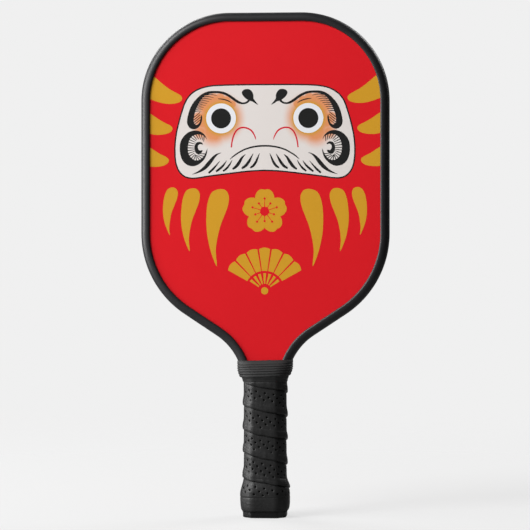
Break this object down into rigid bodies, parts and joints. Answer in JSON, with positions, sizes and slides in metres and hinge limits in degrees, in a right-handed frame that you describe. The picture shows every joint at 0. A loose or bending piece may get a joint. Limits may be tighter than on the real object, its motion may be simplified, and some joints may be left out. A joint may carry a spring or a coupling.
{
  "type": "pickleball paddle",
  "caption": "Upright pickleball paddle: wide rounded face with a red folk-mask print, black edge guard, ribbed collar and perforated wrapped octagonal grip with a flared butt.",
  "frame": {"origin": "centre of the butt cap's flat end, on the handle's long axis", "axes": "+Z from the butt to the tip of the head, +X across the face to the right as the printed front is seen, +Y through the thickness towards the back face"},
  "size_m": [0.2, 0.035, 0.4064],
  "materials": {
    "core": "translucent polypropylene honeycomb, not visible",
    "bond_film": "thin adhesive film, not visible",
    "face_sheet": "woven composite sheet, not visible",
    "print_red": "printed film, bright red, satin with a fine grit",
    "print_white": "printed face panel, warm white, satin",
    "print_black": "printed ink, black, satin",
    "print_gold": "printed ink, mustard gold, satin",
    "guard": "moulded edge guard, black, satin",
    "mount_tape": "double-sided tape, not visible",
    "pallet": "rigid moulded foam, not visible",
    "butt_plastic": "moulded butt cap, black, smooth satin",
    "badge": "blank end badge, brushed",
    "staple_wire": "staple wire, not visible",
    "underlay": "sticky felt underlay, not visible",
    "wrap": "perforated cushion wrap, black, tacky matte with a fine grain",
    "finishing_tape": "vinyl tape, black, satin",
    "collar": "ribbed rubber collar, black, matte"
  },
  "bodies": {
    "root": {"honeycomb_core": "core", "front_bond_film": "bond_film", "back_bond_film": "bond_film", "front_face_sheet": "face_sheet", "back_face_sheet": "face_sheet", "front_graphic_film": "print_red", "back_graphic_film": "print_red", "edge_guard": "guard", "edge_guard_tape": "mount_tape", "handle_pallet_front": "pallet", "handle_pallet_back": "pallet", "butt_cap": "butt_plastic", "butt_cap_insert": "badge", "butt_cap_staples": "staple_wire", "grip_start_staple": "staple_wire", "grip_underlay": "underlay", "grip_wrap": "wrap", "grip_finishing_tape": "finishing_tape", "grip_collar": "collar"}
  },
  "joints": []
}
